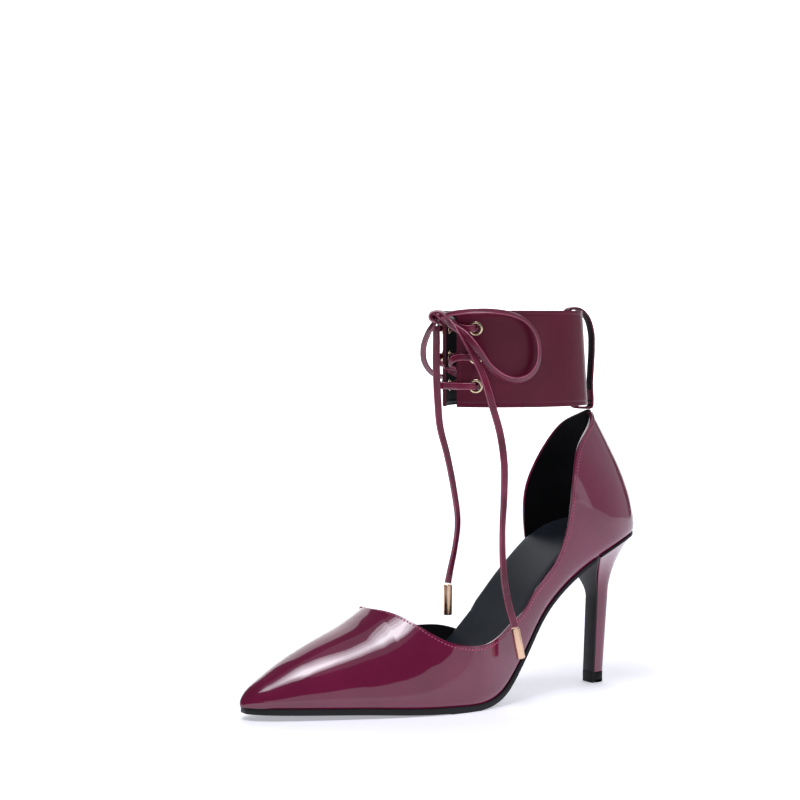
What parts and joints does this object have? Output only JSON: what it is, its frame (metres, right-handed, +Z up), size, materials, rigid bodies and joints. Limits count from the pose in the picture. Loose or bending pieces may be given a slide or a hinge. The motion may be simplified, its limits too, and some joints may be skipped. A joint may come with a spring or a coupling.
{
  "type": "lace-up ankle cuff stiletto heel shoe",
  "caption": "Left pointed stiletto pump with an open inner waist, a wide ankle cuff laced through metal eyelets and tied in a bow, a back loop and a slender heel.",
  "frame": {"origin": "middle of the shoe's plan box on the floor, under the waist; the hanging laces are not counted", "axes": "+X from the heel towards the toe tip, +Y towards the outer side of the foot, +Z up"},
  "size_m": [0.2306, 0.0809, 0.1984],
  "materials": {
    "patent_wine": "high-gloss patent",
    "cuff_wine": "satin, smooth",
    "lace_wine": "satin flat lace",
    "outsole_black": "matt edge",
    "lift_black": "matt",
    "sock_slate": "soft sheen",
    "eyelet_metal": "polished pale gold",
    "aglet_metal": "polished rose gold"
  },
  "bodies": {
    "root": {"outsole": "outsole_black", "heel_block": "patent_wine", "heel_lift": "lift_black", "insole_board": "patent_wine", "insole_sock": "sock_slate", "upper": "patent_wine", "ankle_cuff": "cuff_wine", "cuff_loop": "cuff_wine", "lace_crossings": "lace_wine", "lace_knot": "lace_wine", "lace_loop_lateral": "lace_wine", "lace_loop_medial": "lace_wine", "lace_end_lateral": "lace_wine", "lace_end_medial": "lace_wine", "aglet_lateral": "aglet_metal", "aglet_medial": "aglet_metal", "eyelet_lateral_1": "eyelet_metal", "eyelet_lateral_2": "eyelet_metal", "eyelet_lateral_3": "eyelet_metal", "eyelet_medial_1": "eyelet_metal", "eyelet_medial_2": "eyelet_metal", "eyelet_medial_3": "eyelet_metal"}
  },
  "joints": []
}
